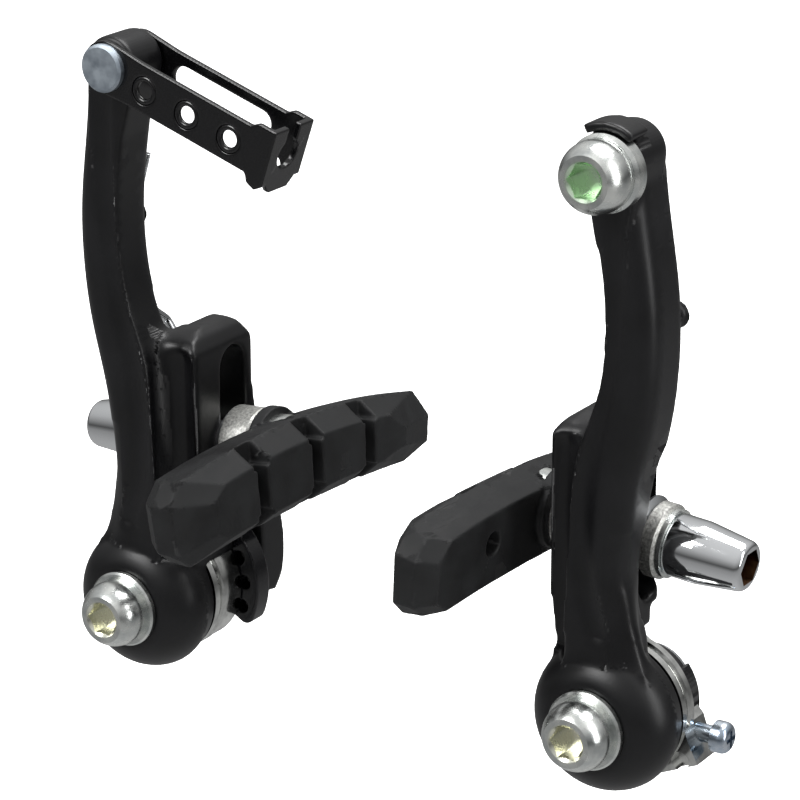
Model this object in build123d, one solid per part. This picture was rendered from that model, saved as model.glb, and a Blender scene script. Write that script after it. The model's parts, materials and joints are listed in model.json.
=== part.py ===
from build123d import *
import os
from math import asin, cos, degrees, hypot, radians, sin, sqrt

# A pair of linear-pull rim brake arms, with pads, noodle link and cable anchor.
# Row frame, millimetres: +X to the viewer's right, +Y back towards the bicycle, +Z up.
# Origin: midway between the two frame bosses, in the plane of their seats.
# One side is built in its own frame: u inboard, y back, w up, with the pivot on the Y axis.

# Driving dimensions of the pair
PIVOT_SPACING = 86.6
HUB_DEPTH = 22.7          # boss seat to the front of the mounting washer
RUNNING_GAP = 0.05        # radial clearance of every turning fit
FACE_GAP = 0.15           # clearance between faces that turn past each other

# Mounting hardware
SLEEVE_R = 5.3
SLEEVE_BORE_R = 4.05
SLEEVE_FLANGE_R = 6.3
SLEEVE_FLANGE_T = 1.2
WASHER_R = 6.3
WASHER_T = 1.0
M6_R = 3.0
M6_SHANK_R = 2.95
M6_NECK_R = 2.65          # unthreaded part of a bolt with a rolled thread
BOLT_REACH = 15.0         # thread below the washer
DOME_R = 5.3              # button head of both kinds of bolt
DOME_H = 5.2
DOME_FLAT_R = 3.9
HEX_AF = 5.0
HEX_DEPTH = 3.4
HEX_CHAMFER = 0.45

# Arm hub
HUB_FRONT_R = 6.9
HUB_R = 12.0
HUB_BACK_R = 11.1
HUB_BACK_Y = -11.9
HUB_BULGE_Y = -15.2

# Arm spine, seen from the front: outboard and inboard edges as (u, w)
SPINE_FRONT_Y = -19.8
SPINE_BACK_Y = -10.1
SPINE_OUTBOARD = [(-7.4, 4.0), (-4.9, 10.5), (-3.9, 17.0), (-4.1, 27.0), (-5.4, 37.0),
                  (-7.6, 47.0), (-8.7, 57.0), (-8.5, 67.0), (-7.1, 77.0), (-6.0, 86.0)]
SPINE_INBOARD = [(5.5, 4.0), (6.6, 14.0), (6.8, 24.0), (5.6, 34.0), (3.4, 44.0),
                 (0.8, 51.5), (-0.4, 59.0), (-0.4, 67.0), (1.0, 77.0), (2.6, 86.0)]
ARM_BOW = {"left": -1.1, "right": 0.6}   # how far each spine has shifted inboard at BOW_W
BOW_W = 80.0
SPINE_SOFT_R = 3.2        # outboard front and inboard back corners
SPINE_CRISP_R = 1.0       # the other two corners
FLUTE_PATH = [(-1.9, 86.0), (-1.9, 62.0), (-0.4, 51.0), (1.8, 41.0), (2.6, 31.0), (1.6, 21.0), (-1.2, 13.5)]
FLUTE_R = 3.4
FLUTE_DEPTH = 0.7

# Slot block behind the spine
BLOCK_IN_U = 10.7
BLOCK_OUT_U = -1.3
BLOCK_FRONT_Y = -15.6
BLOCK_BACK_Y = 0.6
BLOCK_TOP_W = 46.6
BLOCK_STEP_U = 2.6        # outboard of this the back of the block is lower, for the spring
BLOCK_STEP_W = 3.3
SLOT_Y = -5.1
SLOT_LOW_W = 19.0
SLOT_HIGH_W = 38.9
SLOT_R = 3.4
POCKET_GAP = 1.1          # room for the washers to tip beside the spine
SCOOP_R = 3.5
SCOOP_DEPTH = 1.3
SCOOP_LOW = (8.8, 9.0)
SCOOP_HIGH = (7.4, 41.5)

# Tail that shields the spring behind the block
TAIL_OUT_U = 7.4
TAIL_IN_U = 11.6
TAIL_GAP = 0.35
TAIL_BACK_Y = 7.6
TAIL_LOW_W = -3.4

# Spring and its peg
WIRE_R = 0.75
COIL_R = 7.7
COIL_PITCH = 1.65
COIL_TURNS = 3.0
COIL_BACK_Y = -5.6
LEG_BEND = 0.4336         # where the leg bends, between the block's top and the peg
LEG_LEAVES = 125.0        # degrees round the pivot from inboard, upwards
WINDOW_FROM = 64.0        # the leg swings with the arm inside this window of the cap
WINDOW_TO = 141.0
PEG_U = -6.0
PEG_W = 62.8
PEG_R = 1.6
PEG_LIP_R = 2.4
PEG_H = 2.2

# Spring cap and tension ring
CAP_R = 9.6
CAP_WALL = 0.8
CAP_FRONT_Y = -10.6
CAP_BACK_Y = -3.0
CAP_FLOOR_T = 1.3
CAP_BOSS_R = 6.9
LOBE_R = 14.0
LOBE_HOLE_R = 1.2
LOBE_HOLE_CIRCLE = 11.3
LOBE_HOLE_STEP = 22.0
LOBE_FRONT_Y = -4.0
LOBE_BACK_Y = -0.5
RING_R = 11.0
RING_NECK_R = 10.4
RING_FRONT_Y = -11.5
RING_BACK_Y = -8.0
RING_SHIELD_Y = -4.3
SCREW_W = -3.2
SCREW_Y = -6.9
SCREW_R = 1.4
SCREW_HEAD_R = 2.5
SCREW_HEAD_T = 2.6
SCREW_HEAD_U = -14.2
EAR_FRONT_Y = -10.9
EAR_BACK_Y = -4.4

# Heads of the two arms, and the noodle link
RIVET_U, RIVET_W = -1.4, 89.8
RIVET_R = 2.45
RIVET_HEAD_R = 3.8
RIVET_HEAD_T = 1.25
RIVET_TAIL_R = 3.2
RIVET_TAIL_T = 0.9
HEAD_R = 4.7
LINK_HEAD_BACK_Y = -11.8
LINK_HEAD_LOW_W = 8.3     # the thinner head starts this far below the rivet
HEAD_FOOT_W = 76.0        # heads blend into the spine here
LINK_SHEET = 1.0
LINK_LENGTH = 32.4
LINK_HALF = 3.8
LINK_EYE_R = 4.2
LINK_DROOP = 18.7
LINK_HOLES = [7.9, 16.3, 24.6]
LINK_HOLE_R = 2.3
LINK_SLOT_HALF = 2.1
KEYHOLE_R = 2.5
KEYHOLE_NECK = 2.9
ANCHOR_U, ANCHOR_W = -1.3, 86.6
ANCHOR_HEAD_R = 4.9
ANCHOR_HEAD_RISE = 1.2
ANCHOR_WASHER_R = 5.85
ANCHOR_WASHER_T = 2.9
CABLE_R = 0.8
HOOD_IN_R = 6.05
HOOD_OUT_R = 7.5
HOOD_REACH = 2.3

# Pad stack on the slot block
STACK_R = 5.9
STUD_W = {"left": 25.6, "right": 26.4}
STUD_TILT = 4.9
BALL_R = 8.67
BALL_GAP = 0.06
DOME_BORE_R = 3.95
CUP_BORE_R = 3.1
CUP_SEAT_R = 5.2
OUTER_SPACER = {"left": 2.45, "right": 3.4}
INNER_SPACER = {"left": 6.2, "right": 2.85}
FLAT_WASHER_T = 0.8
FLAT_WASHER_R = 5.4
NUT_LENGTH = 12.6
NUT_BASE_R = 4.9
NUT_END_R = 3.95
NUT_BARREL = 4.6
PAD_NECK = 1.6
PAD_NECK_R = 6.4
PAD_THICK = 10.0
PAD_DROP = 1.5            # the pad's middle lies below its stud
PAD_ARC_R = 240.0
PAD_LEVELS = [            # depth from the back, half height, reach forward, reach back
    (0.0, 5.7, 34.0, 30.0),
    (2.8, 6.5, 36.4, 33.8),
    (6.4, 7.1, 36.3, 36.2),
    (10.0, 4.4, 29.5, 23.5),
]
PAD_REAR_TAPER = 0.83
PAD_NOSE = 4.0            # length over which each end closes in
PAD_GROOVES = [-16.8, -1.9, 13.2]
PAD_GROOVE_W = 2.8
PAD_GROOVE_DEPTH = 3.0
PAD_STEP_W = 4.2          # wider mouths of the grooves, above and below
PAD_HOLE_Y = -18.9
PAD_HOLE_R = 2.0
PAD_PITCH = {"left": 3.0, "right": 4.8}
STUD_FLANGE_R = 5.2
STUD_FLANGE_T = 2.4

# Worked-out places
WASHER_BACK_Y = -HUB_DEPTH + WASHER_T
BLOCK_MID_U = (BLOCK_IN_U + BLOCK_OUT_U) / 2
BLOCK_HALF = (BLOCK_IN_U - BLOCK_OUT_U) / 2
NEAR_PLATE_Y = SPINE_FRONT_Y - FACE_GAP
FAR_PLATE_Y = LINK_HEAD_BACK_Y + FACE_GAP


def front_sketch(sketch, y0, y1):
    """Extrude a sketch drawn as (u, w) from y0 back to y1."""
    placed = Plane(origin=(0, y0, 0), x_dir=(1, 0, 0), z_dir=(0, -1, 0)) * sketch
    return extrude(placed, amount=y1 - y0, dir=(0, 1, 0))


def side_sketch(sketch, u0, u1):
    """Extrude a sketch drawn as (y, w) from u0 inboard to u1."""
    placed = Plane(origin=(u0, 0, 0), x_dir=(0, 1, 0), z_dir=(1, 0, 0)) * sketch
    return extrude(placed, amount=u1 - u0, dir=(1, 0, 0))


def turned_y(points):
    """Revolve straight-sided (r, y) points about the Y axis."""
    return revolve(make_face(Polyline(*points, close=True)), Axis.Y)


def rod_y(radius, y0, y1, u=0.0, w=0.0):
    """Cylinder along Y between y0 and y1."""
    return Pos(u, (y0 + y1) / 2, w) * Rot(90, 0, 0) * Cylinder(radius, abs(y1 - y0))


def rod_x(radius, x0, x1, y=0.0, z=0.0):
    """Cylinder along X between x0 and x1."""
    return Pos((x0 + x1) / 2, y, z) * Rot(0, 90, 0) * Cylinder(radius, abs(x1 - x0))


def round_slot(radius, low, high, u0, u1, y=SLOT_Y):
    """Slot solid whose ends have the given radius."""
    outline = Pos(y, (low + high) / 2) * Rot(0, 0, 90) * SlotCenterToCenter(high - low, 2 * radius)
    return side_sketch(outline, u0, u1)


def button_bolt(seat_y, reach, u=0.0, w=0.0):
    """Domed socket-head bolt: head in front of seat_y, plain shank behind it."""
    rim = seat_y
    crown = seat_y - DOME_H
    edge = RadiusArc((DOME_R, rim - 0.7), (DOME_FLAT_R, crown), 4.6)
    mid = edge @ 0.5
    if hypot(mid.X, mid.Y - rim) < hypot((DOME_R + DOME_FLAT_R) / 2, DOME_H / 2):
        edge = RadiusArc((DOME_R, rim - 0.7), (DOME_FLAT_R, crown), -4.6)
    rest = Polyline((DOME_FLAT_R, crown), (0, crown), (0, rim), (DOME_R, rim), (DOME_R, rim - 0.7))
    head = revolve(make_face(edge + rest), Axis.Y)
    socket = front_sketch(RegularPolygon(HEX_AF / 2, 6, major_radius=False), crown, crown + HEX_DEPTH)
    mouth_r = HEX_AF / 2 / cos(radians(30)) + 0.1
    mouth = turned_y([(0, crown), (mouth_r, crown), (mouth_r - HEX_CHAMFER, crown + HEX_CHAMFER), (0, crown + HEX_CHAMFER)])
    tip = 0.6
    end = seat_y + reach
    shank = turned_y([(0, rim), (M6_SHANK_R, rim), (M6_SHANK_R, end - tip), (M6_SHANK_R - tip, end), (0, end)])
    return Pos(u, 0, w) * (head - socket - mouth + shank)


def mounting_bolt():
    """Bolt whose thread screws into the frame boss, with a thinner neck under its head."""
    bolt = button_bolt(-HUB_DEPTH, WASHER_T + BOLT_REACH)
    neck_end = WASHER_BACK_Y + 1.0
    thread = rod_y(M6_R, neck_end, WASHER_BACK_Y + BOLT_REACH - 0.6)
    around_neck = rod_y(M6_R, -HUB_DEPTH, neck_end) - rod_y(M6_NECK_R, -HUB_DEPTH, neck_end)
    return bolt + thread - around_neck


def mounting_washer():
    """Plain washer that keeps the arm on its sleeve."""
    ring = rod_y(WASHER_R, -HUB_DEPTH, WASHER_BACK_Y) - rod_y(M6_SHANK_R + RUNNING_GAP, -HUB_DEPTH - 1, WASHER_BACK_Y + 1)
    return chamfer(ring.edges().filter_by(GeomType.CIRCLE).sort_by(Axis.Y)[:2].sort_by(SortBy.RADIUS)[-1], 0.3)


def pivot_sleeve():
    """Flanged bearing sleeve that slides over the frame boss."""
    f = -SLEEVE_FLANGE_T
    return turned_y([(SLEEVE_BORE_R, WASHER_BACK_Y), (SLEEVE_R - 0.3, WASHER_BACK_Y), (SLEEVE_R, WASHER_BACK_Y + 0.3),
                     (SLEEVE_R, f), (SLEEVE_FLANGE_R, f), (SLEEVE_FLANGE_R, 0), (SLEEVE_BORE_R, 0)])


def arm_hub():
    """Domed hub, turned about the pivot."""
    face_y = WASHER_BACK_Y + FACE_GAP
    dome = ThreePointArc((HUB_FRONT_R, face_y), (HUB_R - 1.55, (face_y + HUB_BULGE_Y) / 2 - 0.9), (HUB_R, HUB_BULGE_Y))
    rest = Polyline((HUB_R, HUB_BULGE_Y), (HUB_BACK_R, HUB_BACK_Y), (0, HUB_BACK_Y), (0, face_y), (HUB_FRONT_R, face_y))
    return revolve(make_face(dome + rest), Axis.Y)


def bowed(points, side):
    """Outline points of the spine with the bow of one arm added."""
    return [(u + ARM_BOW[side] * (w / BOW_W) ** 2, w) for u, w in points]


def arm_spine(side):
    """S-curved main member with two soft and two crisp corners."""
    outer = Spline(*bowed(SPINE_OUTBOARD, side))
    inner = Spline(*bowed(SPINE_INBOARD, side))
    top = Line(outer @ 1, inner @ 1)
    foot = Line(outer @ 0, inner @ 0)
    spine = front_sketch(make_face(outer + top + inner + foot), SPINE_FRONT_Y, SPINE_BACK_Y)

    def corner(y, inboard):
        flat = [e for e in spine.edges() if abs(e.center().Y - y) < 0.01 and e.length > SPINE_OUTBOARD[-1][1] / 2]
        return sorted(flat, key=lambda e: e.center().X)[-1 if inboard else 0]

    for y, inboard, radius in [(SPINE_FRONT_Y, False, SPINE_SOFT_R), (SPINE_BACK_Y, True, SPINE_SOFT_R - 0.4),
                               (SPINE_FRONT_Y, True, SPINE_CRISP_R), (SPINE_BACK_Y, False, SPINE_CRISP_R)]:
        spine = fillet(corner(y, inboard), radius)
    return spine


def root_web():
    """Web that flares the front of the spine into the hub on the outboard side."""
    web = make_face(Polyline((0, 4), (-9.7, 5.2), (-7.2, 10.0), (-5.2, 16.0), (-4.2, 22.0), (0, 22.0), close=True))
    return front_sketch(web, SPINE_FRONT_Y + 1.6, SPINE_FRONT_Y + 5.0)


def slot_block():
    """Deep block with the pad slot, bounded by its front and side outlines."""
    top = BLOCK_TOP_W
    front = make_face(Polyline((BLOCK_OUT_U, 4), (9.4, 4), (10.0, 12), (BLOCK_IN_U, 18), (BLOCK_IN_U, top - 3.4),
                               (9.4, top - 1.4), (7.4, top - 0.2), (4.6, top - 0.7), (2.4, top - 1.9), (BLOCK_OUT_U, top - 1.0),
                               close=True))
    side = make_face(Polyline((BLOCK_FRONT_Y, 0), (BLOCK_FRONT_Y, top - 3.0), (BLOCK_FRONT_Y + 1.4, top - 1.6),
                              (BLOCK_FRONT_Y + 5.5, top - 0.2), (-4.0, top + 0.2), (-1.4, top - 1.0), (BLOCK_BACK_Y, top - 4.4),
                              (BLOCK_BACK_Y, 0), close=True))
    block = front_sketch(front, BLOCK_FRONT_Y, BLOCK_BACK_Y) & side_sketch(side, BLOCK_OUT_U, BLOCK_IN_U)
    step = Pos(BLOCK_STEP_U, SPINE_BACK_Y, top - BLOCK_STEP_W) * Box(30, 30, 30, align=(Align.MAX, Align.MIN, Align.MIN))
    block -= step
    corner = make_face(Polyline((BLOCK_OUT_U - 1, -2.8), (BLOCK_OUT_U, -2.4), (BLOCK_STEP_U + 1.0, BLOCK_BACK_Y),
                                (BLOCK_STEP_U + 1.0, BLOCK_BACK_Y + 1), (BLOCK_OUT_U - 1, BLOCK_BACK_Y + 1), close=True))
    block -= extrude(corner, amount=top)
    edges = [e for e in block.edges().filter_by(Axis.Z) if e.center().X > BLOCK_IN_U - 0.1]
    return fillet(edges, 0.9)


def tail():
    """Guard that runs down behind the spring cap on the inboard side."""
    y0 = BLOCK_BACK_Y + TAIL_GAP
    inside = BLOCK_BACK_Y - 1.0
    edge = Spline((BLOCK_BACK_Y, 34), (2.6, 24), (5.6, 14), (TAIL_BACK_Y, 5), (TAIL_BACK_Y - 0.7, -1))
    rest = Polyline((TAIL_BACK_Y - 0.7, -1), (TAIL_BACK_Y - 2.6, TAIL_LOW_W), (2.2, TAIL_LOW_W + 0.4), (y0, 0),
                    (y0, 15.6), (inside, 16.2), (inside, 34), (BLOCK_BACK_Y, 34))
    guard = side_sketch(make_face(edge + rest), TAIL_OUT_U, TAIL_IN_U)
    trim_front = make_face(Polyline((BLOCK_IN_U, 13.4), (TAIL_IN_U + 1, 10.4), (TAIL_IN_U + 1, 40), (BLOCK_IN_U, 40), close=True))
    guard = guard - front_sketch(trim_front, -5, TAIL_BACK_Y + 5)
    return guard


def spring_peg():
    """Lipped peg on the back of the spine that the spring leg hooks behind."""
    stem = rod_y(PEG_R, SPINE_BACK_Y - 1.0, SPINE_BACK_Y + PEG_H, PEG_U, PEG_W)
    lip = rod_y(PEG_LIP_R, SPINE_BACK_Y + PEG_H - 0.4, SPINE_BACK_Y + PEG_H, PEG_U, PEG_W)
    return stem + lip


def head_blank(radius, u, w, foot_u, back_y, back_round):
    """Rounded head blended into the top of the spine."""
    foot = Pos(foot_u, HEAD_FOOT_W) * Circle(radius * 0.6)
    hull = make_hull((Pos(u, w) * Circle(radius)).edges() + foot.edges())
    head = front_sketch(hull, SPINE_FRONT_Y, back_y)
    head = fillet([e for e in head.edges() if abs(e.center().Y - back_y) < 0.01], back_round)
    return fillet([e for e in head.edges() if abs(e.center().Y - SPINE_FRONT_Y) < 0.01], 0.7)


def arm(side):
    """One forged arm: the left one carries the link, the right one the cable anchor."""
    body = arm_hub() + arm_spine(side) + root_web() + slot_block() + tail() + spring_peg()
    body -= scoop()
    body -= rod_y(RING_R + 0.4, HUB_BACK_Y, BLOCK_BACK_Y + TAIL_GAP)
    body -= rod_y(LOBE_R + 0.5, LOBE_FRONT_Y - 0.4, BLOCK_BACK_Y + TAIL_GAP)
    body -= round_slot(SLOT_R, SLOT_LOW_W, SLOT_HIGH_W, -20, 20)
    body -= round_slot(STACK_R + POCKET_GAP, SLOT_LOW_W, SLOT_HIGH_W, -20, BLOCK_OUT_U)
    if side == "left":
        above = (Align.CENTER, Align.MIN, Align.MIN)
        body -= Pos(RIVET_U, LINK_HEAD_BACK_Y, RIVET_W - LINK_HEAD_LOW_W) * Box(40, 10, 40, align=above)
        body += head_blank(HEAD_R, RIVET_U, RIVET_W, RIVET_U - 2.0, LINK_HEAD_BACK_Y, 0.7)
        body -= rod_y(RIVET_R + RUNNING_GAP, -30, 0, RIVET_U, RIVET_W)
    else:
        body += head_blank(ANCHOR_HEAD_R, ANCHOR_U + 0.4, ANCHOR_W + ANCHOR_HEAD_RISE, ANCHOR_U, SPINE_BACK_Y, 2.4)
        body += hood()
        body -= rod_y(M6_R, -30, 0, ANCHOR_U, ANCHOR_W)
        body -= rod_x(CABLE_R, ANCHOR_U - 12, ANCHOR_U + 12, SPINE_FRONT_Y, ANCHOR_W + M6_R + CABLE_R)
    body -= rod_y(SLEEVE_R + RUNNING_GAP, -30, HUB_BACK_Y + 5)
    flute = Spline(*[(u, SPINE_FRONT_Y - FLUTE_R + FLUTE_DEPTH, w) for u, w in bowed(FLUTE_PATH, side)])
    start = Plane(origin=flute @ 0, z_dir=flute % 0)
    return body - sweep(start * Circle(FLUTE_R), path=flute)


def scoop():
    """Hollow between the spine and the block's front edge, round at its top."""
    (u0, w0), (u1, w1) = SCOOP_LOW, SCOOP_HIGH
    y = BLOCK_FRONT_Y - SCOOP_R + SCOOP_DEPTH
    length = hypot(u1 - u0, w1 - w0)
    lean = degrees(asin((u1 - u0) / length))
    bar = Pos((u0 + u1) / 2, y, (w0 + w1) / 2) * Rot(0, lean, 0) * Cylinder(SCOOP_R, length)
    return bar + Pos(u1, y, w1) * Sphere(SCOOP_R)


def hood():
    """Lip over the anchor washer, open at its outboard end for the cable."""
    ring = Circle(HOOD_OUT_R) - Circle(HOOD_IN_R)
    wedge = make_face(Polyline((0, 0), (8.2, 14.0), (-9.0, 11.6), close=True))
    sector = Pos(ANCHOR_U, ANCHOR_W) * (ring & wedge)
    return front_sketch(sector, SPINE_FRONT_Y - HOOD_REACH, SPINE_FRONT_Y + 3.0)


def return_spring():
    """Coil about the sleeve, with a leg that runs up behind the pad stack to the peg."""
    coil_path = Helix(COIL_PITCH, COIL_PITCH * COIL_TURNS, COIL_R)
    coil_path = Pos(0, COIL_BACK_Y, 0) * Rot(0, -LEG_LEAVES, 0) * Rot(90, 0, 0) * coil_path
    start = coil_path @ 0
    away = coil_path % 0 * -1
    coil = sweep(Plane(origin=start, z_dir=away) * Circle(WIRE_R), path=coil_path)
    seat_y = SPINE_BACK_Y + WIRE_R + 0.05
    behind_y = BLOCK_BACK_Y + WIRE_R + 0.2
    behind_u = BLOCK_STEP_U + 1.2
    over_w = BLOCK_TOP_W - BLOCK_STEP_W + WIRE_R + 0.3
    peg_u = PEG_U + PEG_R + WIRE_R + 0.1
    peg_bend = (PEG_W - over_w) * LEG_BEND
    leg_path = FilletPolyline(start, start + away * 5.6, (behind_u, behind_y, 13.4), (behind_u, behind_y, over_w - 9.0),
                              (0.3, behind_y, over_w - 2.6), (-0.2, -2.2, over_w + 0.4), (peg_u - 0.9, seat_y, over_w + peg_bend),
                              (peg_u + 0.9, seat_y, 2 * PEG_W - over_w - peg_bend), radius=1.5)
    leg = sweep(Plane(origin=start, z_dir=away) * Circle(WIRE_R), path=leg_path)
    return coil + leg


def spring_cap():
    """Moulded cup around the coil, with a lobe of pin holes on its inboard side."""
    inner = CAP_R - CAP_WALL
    floor_y = CAP_BACK_Y - CAP_FLOOR_T
    hole = SLEEVE_R + RUNNING_GAP
    cup = turned_y([(inner, CAP_FRONT_Y), (CAP_R, CAP_FRONT_Y), (CAP_R, CAP_BACK_Y - 0.6), (CAP_R - 0.6, CAP_BACK_Y),
                    (CAP_BOSS_R, CAP_BACK_Y), (CAP_BOSS_R, -SLEEVE_FLANGE_T), (hole, -SLEEVE_FLANGE_T), (hole, floor_y),
                    (inner, floor_y)])
    wedge = make_face(Polyline((0, 0), (22, -13), (22, 13.5), (12, 20), close=True))
    lobe = front_sketch((Circle(LOBE_R) - Circle(inner + 0.4)) & wedge, LOBE_FRONT_Y, LOBE_BACK_Y)
    corners = [e for e in lobe.edges().filter_by(Axis.Y) if hypot(e.center().X, e.center().Z) > LOBE_R - 0.5]
    body = cup + fillet(corners, 1.6)
    for step in (-1, 0, 1):
        a = radians(4 + step * LOBE_HOLE_STEP)
        body -= rod_y(LOBE_HOLE_R, LOBE_FRONT_Y - 1, LOBE_BACK_Y - 0.9, LOBE_HOLE_CIRCLE * cos(a), LOBE_HOLE_CIRCLE * sin(a))
    reach = 3 * CAP_R
    low, high = radians(WINDOW_FROM), radians(WINDOW_TO)
    sector = make_face(Polyline((0, 0), (reach * cos(low), reach * sin(low)), (reach * cos(high), reach * sin(high)),
                                close=True))
    window = (sector & Circle(CAP_R + 1)) - Circle(CAP_BOSS_R + 0.3)
    return body - front_sketch(window, COIL_BACK_Y - 1.4, CAP_BACK_Y + 0.1)


def tension_ring():
    """Cast ring over the cap: two flanges, a shield on the inboard side and a screw ear."""
    inner = CAP_R + RUNNING_GAP
    front = RING_FRONT_Y
    ring = turned_y([(inner, front), (RING_R, front), (RING_R, front + 1.2), (RING_NECK_R, front + 1.5),
                     (RING_NECK_R, front + 2.1), (RING_R, front + 2.4), (RING_R, RING_BACK_Y), (inner, RING_BACK_Y)])
    shield = Circle(RING_R - 0.1) - Circle(inner)
    wedge = make_face(Polyline((0, 0), (6, -20), (20, -10), (20, 12), (15, 20), close=True))
    ring += front_sketch(shield & wedge, RING_BACK_Y - 0.5, RING_SHIELD_Y)
    ear = make_face(Polyline((-9.2, 0.4), (-10.7, -1.2), (-11.6, -3.6), (-13.3, -6.8), (-7.0, -9.7), (-2.4, -10.8), (-4.0, -2.0),
                             close=True))
    ring += front_sketch(ear, EAR_FRONT_Y, EAR_BACK_Y) - rod_y(inner, -20, 0)
    ring -= rod_x(SCREW_R + RUNNING_GAP, -20, 0, SCREW_Y, SCREW_W)
    ring -= rod_y(1.5, EAR_FRONT_Y - 1, EAR_FRONT_Y + 1.2, -10.3, -6.9)
    return ring


def tension_screw():
    """Pan-head cross-recess screw that sets the spring tension."""
    tip_u = -sqrt((CAP_R + 0.3) ** 2 - (abs(SCREW_W) - SCREW_R) ** 2)
    shank = rod_x(SCREW_R, SCREW_HEAD_U, tip_u)
    head = Pos(SCREW_HEAD_U - SCREW_HEAD_T / 2, 0, 0) * Rot(0, -90, 0) * Cylinder(SCREW_HEAD_R, SCREW_HEAD_T)
    outer = head.edges().filter_by(GeomType.CIRCLE).sort_by(Axis.X)[0]
    head = fillet(outer, 1.3)
    top = SCREW_HEAD_U - SCREW_HEAD_T
    blades = Box(2.4, 0.7, 2.8) + Box(2.4, 2.8, 0.7)
    return Pos(0, SCREW_Y, SCREW_W) * (shank + head - Pos(top, 0, 0) * blades)


def noodle_link():
    """Folded U strap: two side plates joined by the keyhole plate that holds the noodle."""
    flare = LINK_LENGTH - 4.6
    top, low = LINK_HALF + 0.9, -LINK_HALF - 1.9
    eye = Circle(LINK_EYE_R)
    strap = make_face(Polyline((0, -LINK_EYE_R), (6, -LINK_HALF), (flare + 1.0, -LINK_HALF), (flare + 1.8, low + 0.5), (LINK_LENGTH - 1.2, low),
                               (LINK_LENGTH, low + 1.0), (LINK_LENGTH, top), (flare + 1.2, top), (flare, LINK_HALF), (6, LINK_HALF),
                               (0, LINK_EYE_R), close=True))
    plate = eye + strap
    holes = [Pos(d, -0.2) * Circle(LINK_HOLE_R) for d in LINK_HOLES]
    near = plate - holes - Circle(RIVET_R)
    long_hole = Pos((LINK_HOLES[0] + LINK_HOLES[-1]) / 2, 0) * SlotOverall(LINK_HOLES[-1] - LINK_HOLES[0] + 2.6, 2 * LINK_SLOT_HALF)
    far = plate - long_hole - Circle(RIVET_R)
    end_outline = make_face(Polyline((NEAR_PLATE_Y - LINK_SHEET, top), (NEAR_PLATE_Y - LINK_SHEET, low + 2.4), (NEAR_PLATE_Y + 1.6, low - 0.6),
                                     (FAR_PLATE_Y - 1.6, low - 0.6), (FAR_PLATE_Y + LINK_SHEET, low + 2.4), (FAR_PLATE_Y + LINK_SHEET, top),
                                     close=True))
    mid_y = (NEAR_PLATE_Y + FAR_PLATE_Y) / 2
    keyhole = Pos(mid_y, 0) * Circle(KEYHOLE_R) + Pos(mid_y, top / 2 + 1) * Rectangle(KEYHOLE_NECK, top + 2)
    end = side_sketch(end_outline - keyhole, LINK_LENGTH - LINK_SHEET, LINK_LENGTH)
    body = front_sketch(near, NEAR_PLATE_Y - LINK_SHEET, NEAR_PLATE_Y) + front_sketch(far, FAR_PLATE_Y, FAR_PLATE_Y + LINK_SHEET) + end
    return Pos(RIVET_U, 0, RIVET_W) * Rot(0, LINK_DROOP, 0) * body


def link_rivet():
    """Headed rivet that the link turns with in the arm's head."""
    front = NEAR_PLATE_Y - LINK_SHEET
    back = FAR_PLATE_Y + LINK_SHEET
    h, t = RIVET_HEAD_T, RIVET_TAIL_T
    body = turned_y([(0, front - h), (RIVET_HEAD_R - 0.4, front - h), (RIVET_HEAD_R, front - h + 0.4), (RIVET_HEAD_R, front),
                     (RIVET_R, front), (RIVET_R, back), (RIVET_TAIL_R, back), (RIVET_TAIL_R, back + t - 0.3),
                     (RIVET_TAIL_R - 0.3, back + t), (0, back + t)])
    return Pos(RIVET_U, 0, RIVET_W) * body


def cable_anchor_bolt():
    """Bolt that clamps the cable, screwed into the right arm's head."""
    seat = SPINE_FRONT_Y - ANCHOR_WASHER_T
    return button_bolt(seat, ANCHOR_WASHER_T + 9.0, ANCHOR_U, ANCHOR_W)


def cable_anchor_washer():
    """Thick clamp washer."""
    y0, y1 = SPINE_FRONT_Y - ANCHOR_WASHER_T, SPINE_FRONT_Y
    r, b = ANCHOR_WASHER_R, M6_R + 0.05
    body = turned_y([(b, y0), (r - 0.5, y0), (r, y0 + 0.5), (r, y1 - 0.3), (r - 0.3, y1), (b, y1)])
    return Pos(ANCHOR_U, 0, ANCHOR_W) * body


def stack_place(shape, side, tilt=STUD_TILT):
    """Put a piece built along X about the ball centre into the arm's frame."""
    return Pos(BLOCK_MID_U, SLOT_Y, STUD_W[side]) * Rot(0, -tilt, 0) * shape


def dome_washer(side, sign):
    """Washer flat on the block, spherical on its outer face."""
    rim = sqrt(BALL_R ** 2 - STACK_R ** 2)
    crown = sqrt(BALL_R ** 2 - DOME_BORE_R ** 2)
    mid_a = (asin(STACK_R / BALL_R) + asin(DOME_BORE_R / BALL_R)) / 2
    ball = ThreePointArc((rim, STACK_R), (BALL_R * cos(mid_a), BALL_R * sin(mid_a)), (crown, DOME_BORE_R))
    rest = Polyline((crown, DOME_BORE_R), (BLOCK_HALF, DOME_BORE_R), (BLOCK_HALF, STACK_R), (rim, STACK_R))
    body = revolve(make_face(ball + rest), Axis.X)
    return stack_place(body if sign > 0 else Rot(0, 0, 180) * body, side, tilt=0)


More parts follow.
